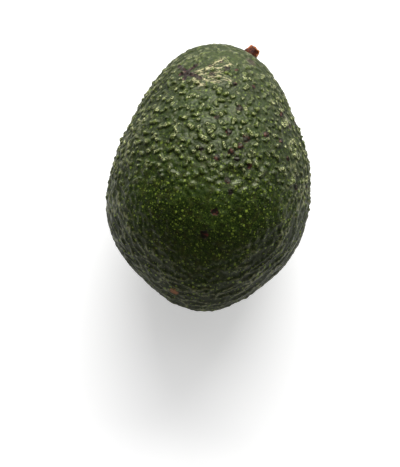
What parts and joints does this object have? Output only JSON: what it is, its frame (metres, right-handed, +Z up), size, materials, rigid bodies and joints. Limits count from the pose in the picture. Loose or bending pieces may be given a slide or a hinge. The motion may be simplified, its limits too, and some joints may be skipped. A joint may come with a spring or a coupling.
{
  "type": "avocado",
  "caption": "Whole egg-shaped avocado with pebbled green skin and a short woody stem button, lying on its side on a small flat spot.",
  "frame": {"origin": "middle of the flat spot that the fruit rests on, on the surface", "axes": "+Z up, +Y along the fruit's length towards the stem end, +X across its width"},
  "size_m": [0.073, 0.0997, 0.0692],
  "materials": {
    "skin": "satin, pebbled",
    "stem": "dry and rough"
  },
  "bodies": {
    "root": {"fruit": "skin", "stem_button": "stem"}
  },
  "joints": []
}
